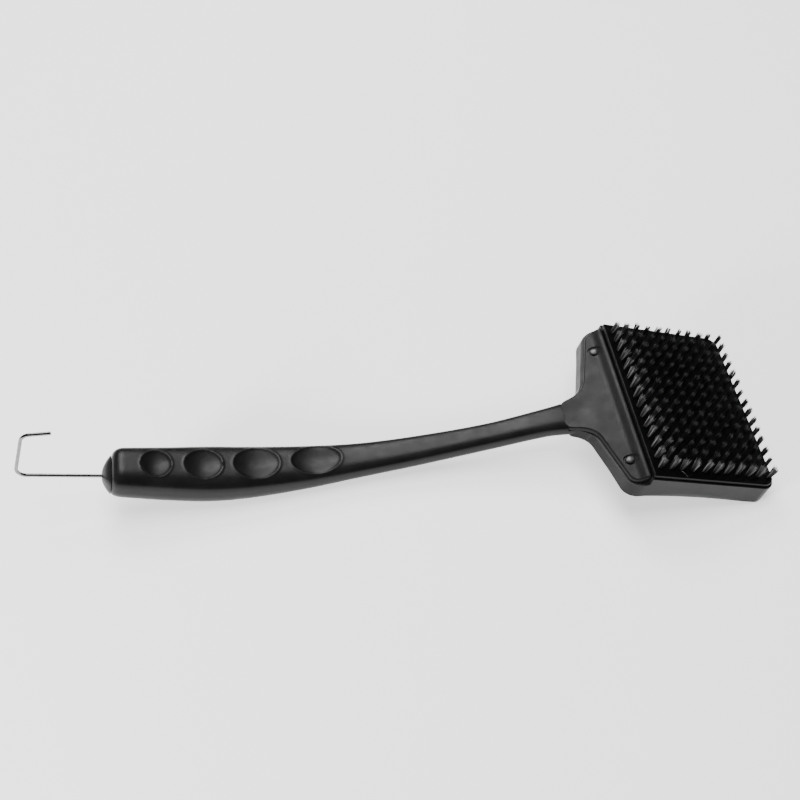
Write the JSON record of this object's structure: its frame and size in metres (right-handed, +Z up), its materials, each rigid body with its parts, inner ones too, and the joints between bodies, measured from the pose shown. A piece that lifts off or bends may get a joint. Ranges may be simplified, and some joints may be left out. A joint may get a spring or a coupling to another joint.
{
  "type": "grill cleaning brush",
  "caption": "Long-handled grill cleaning brush with a wide tray head of bristle tufts, a sloping clamp plate, finger scallops and a swivelling wire hanging hook.",
  "frame": {"origin": "centre of the bounding box's base, on the surface that the brush lies on", "axes": "+X along the brush from the hanging hook towards the head's tip, +Y across the head, +Z up, out of the bristle side"},
  "size_m": [0.4164, 0.1162, 0.0678],
  "materials": {
    "grey_plastic": "satin moulded",
    "black_plastic": "satin moulded",
    "bristle_nylon": "drawn filament",
    "screw_steel": "darkened",
    "hook_steel": "bright drawn wire"
  },
  "bodies": {
    "brush": {"handle_frame": "grey_plastic", "front_plate": "grey_plastic", "brush_block": "black_plastic", "bristle_row_01": "bristle_nylon", "bristle_row_02": "bristle_nylon", "bristle_row_03": "bristle_nylon", "bristle_row_04": "bristle_nylon", "bristle_row_05": "bristle_nylon", "bristle_row_06": "bristle_nylon", "bristle_row_07": "bristle_nylon", "bristle_row_08": "bristle_nylon", "bristle_row_09": "bristle_nylon", "bristle_row_10": "bristle_nylon", "bristle_row_11": "bristle_nylon", "bristle_row_12": "bristle_nylon", "bristle_row_13": "bristle_nylon", "bristle_row_14": "bristle_nylon", "bristle_row_15": "bristle_nylon", "plate_screw_near": "screw_steel", "plate_screw_far": "screw_steel", "end_cap": "grey_plastic"},
    "hook": {"hanging_hook": "hook_steel", "hook_retaining_ring": "hook_steel"}
  },
  "joints": [
    {"name": "hook_swivel", "type": "hinge", "parent": "brush", "child": "hook", "pos_m": [-0.16391, 0, 0.02475], "axis": [-0.9764, 0, 0.2158], "continuous": true}
  ]
}
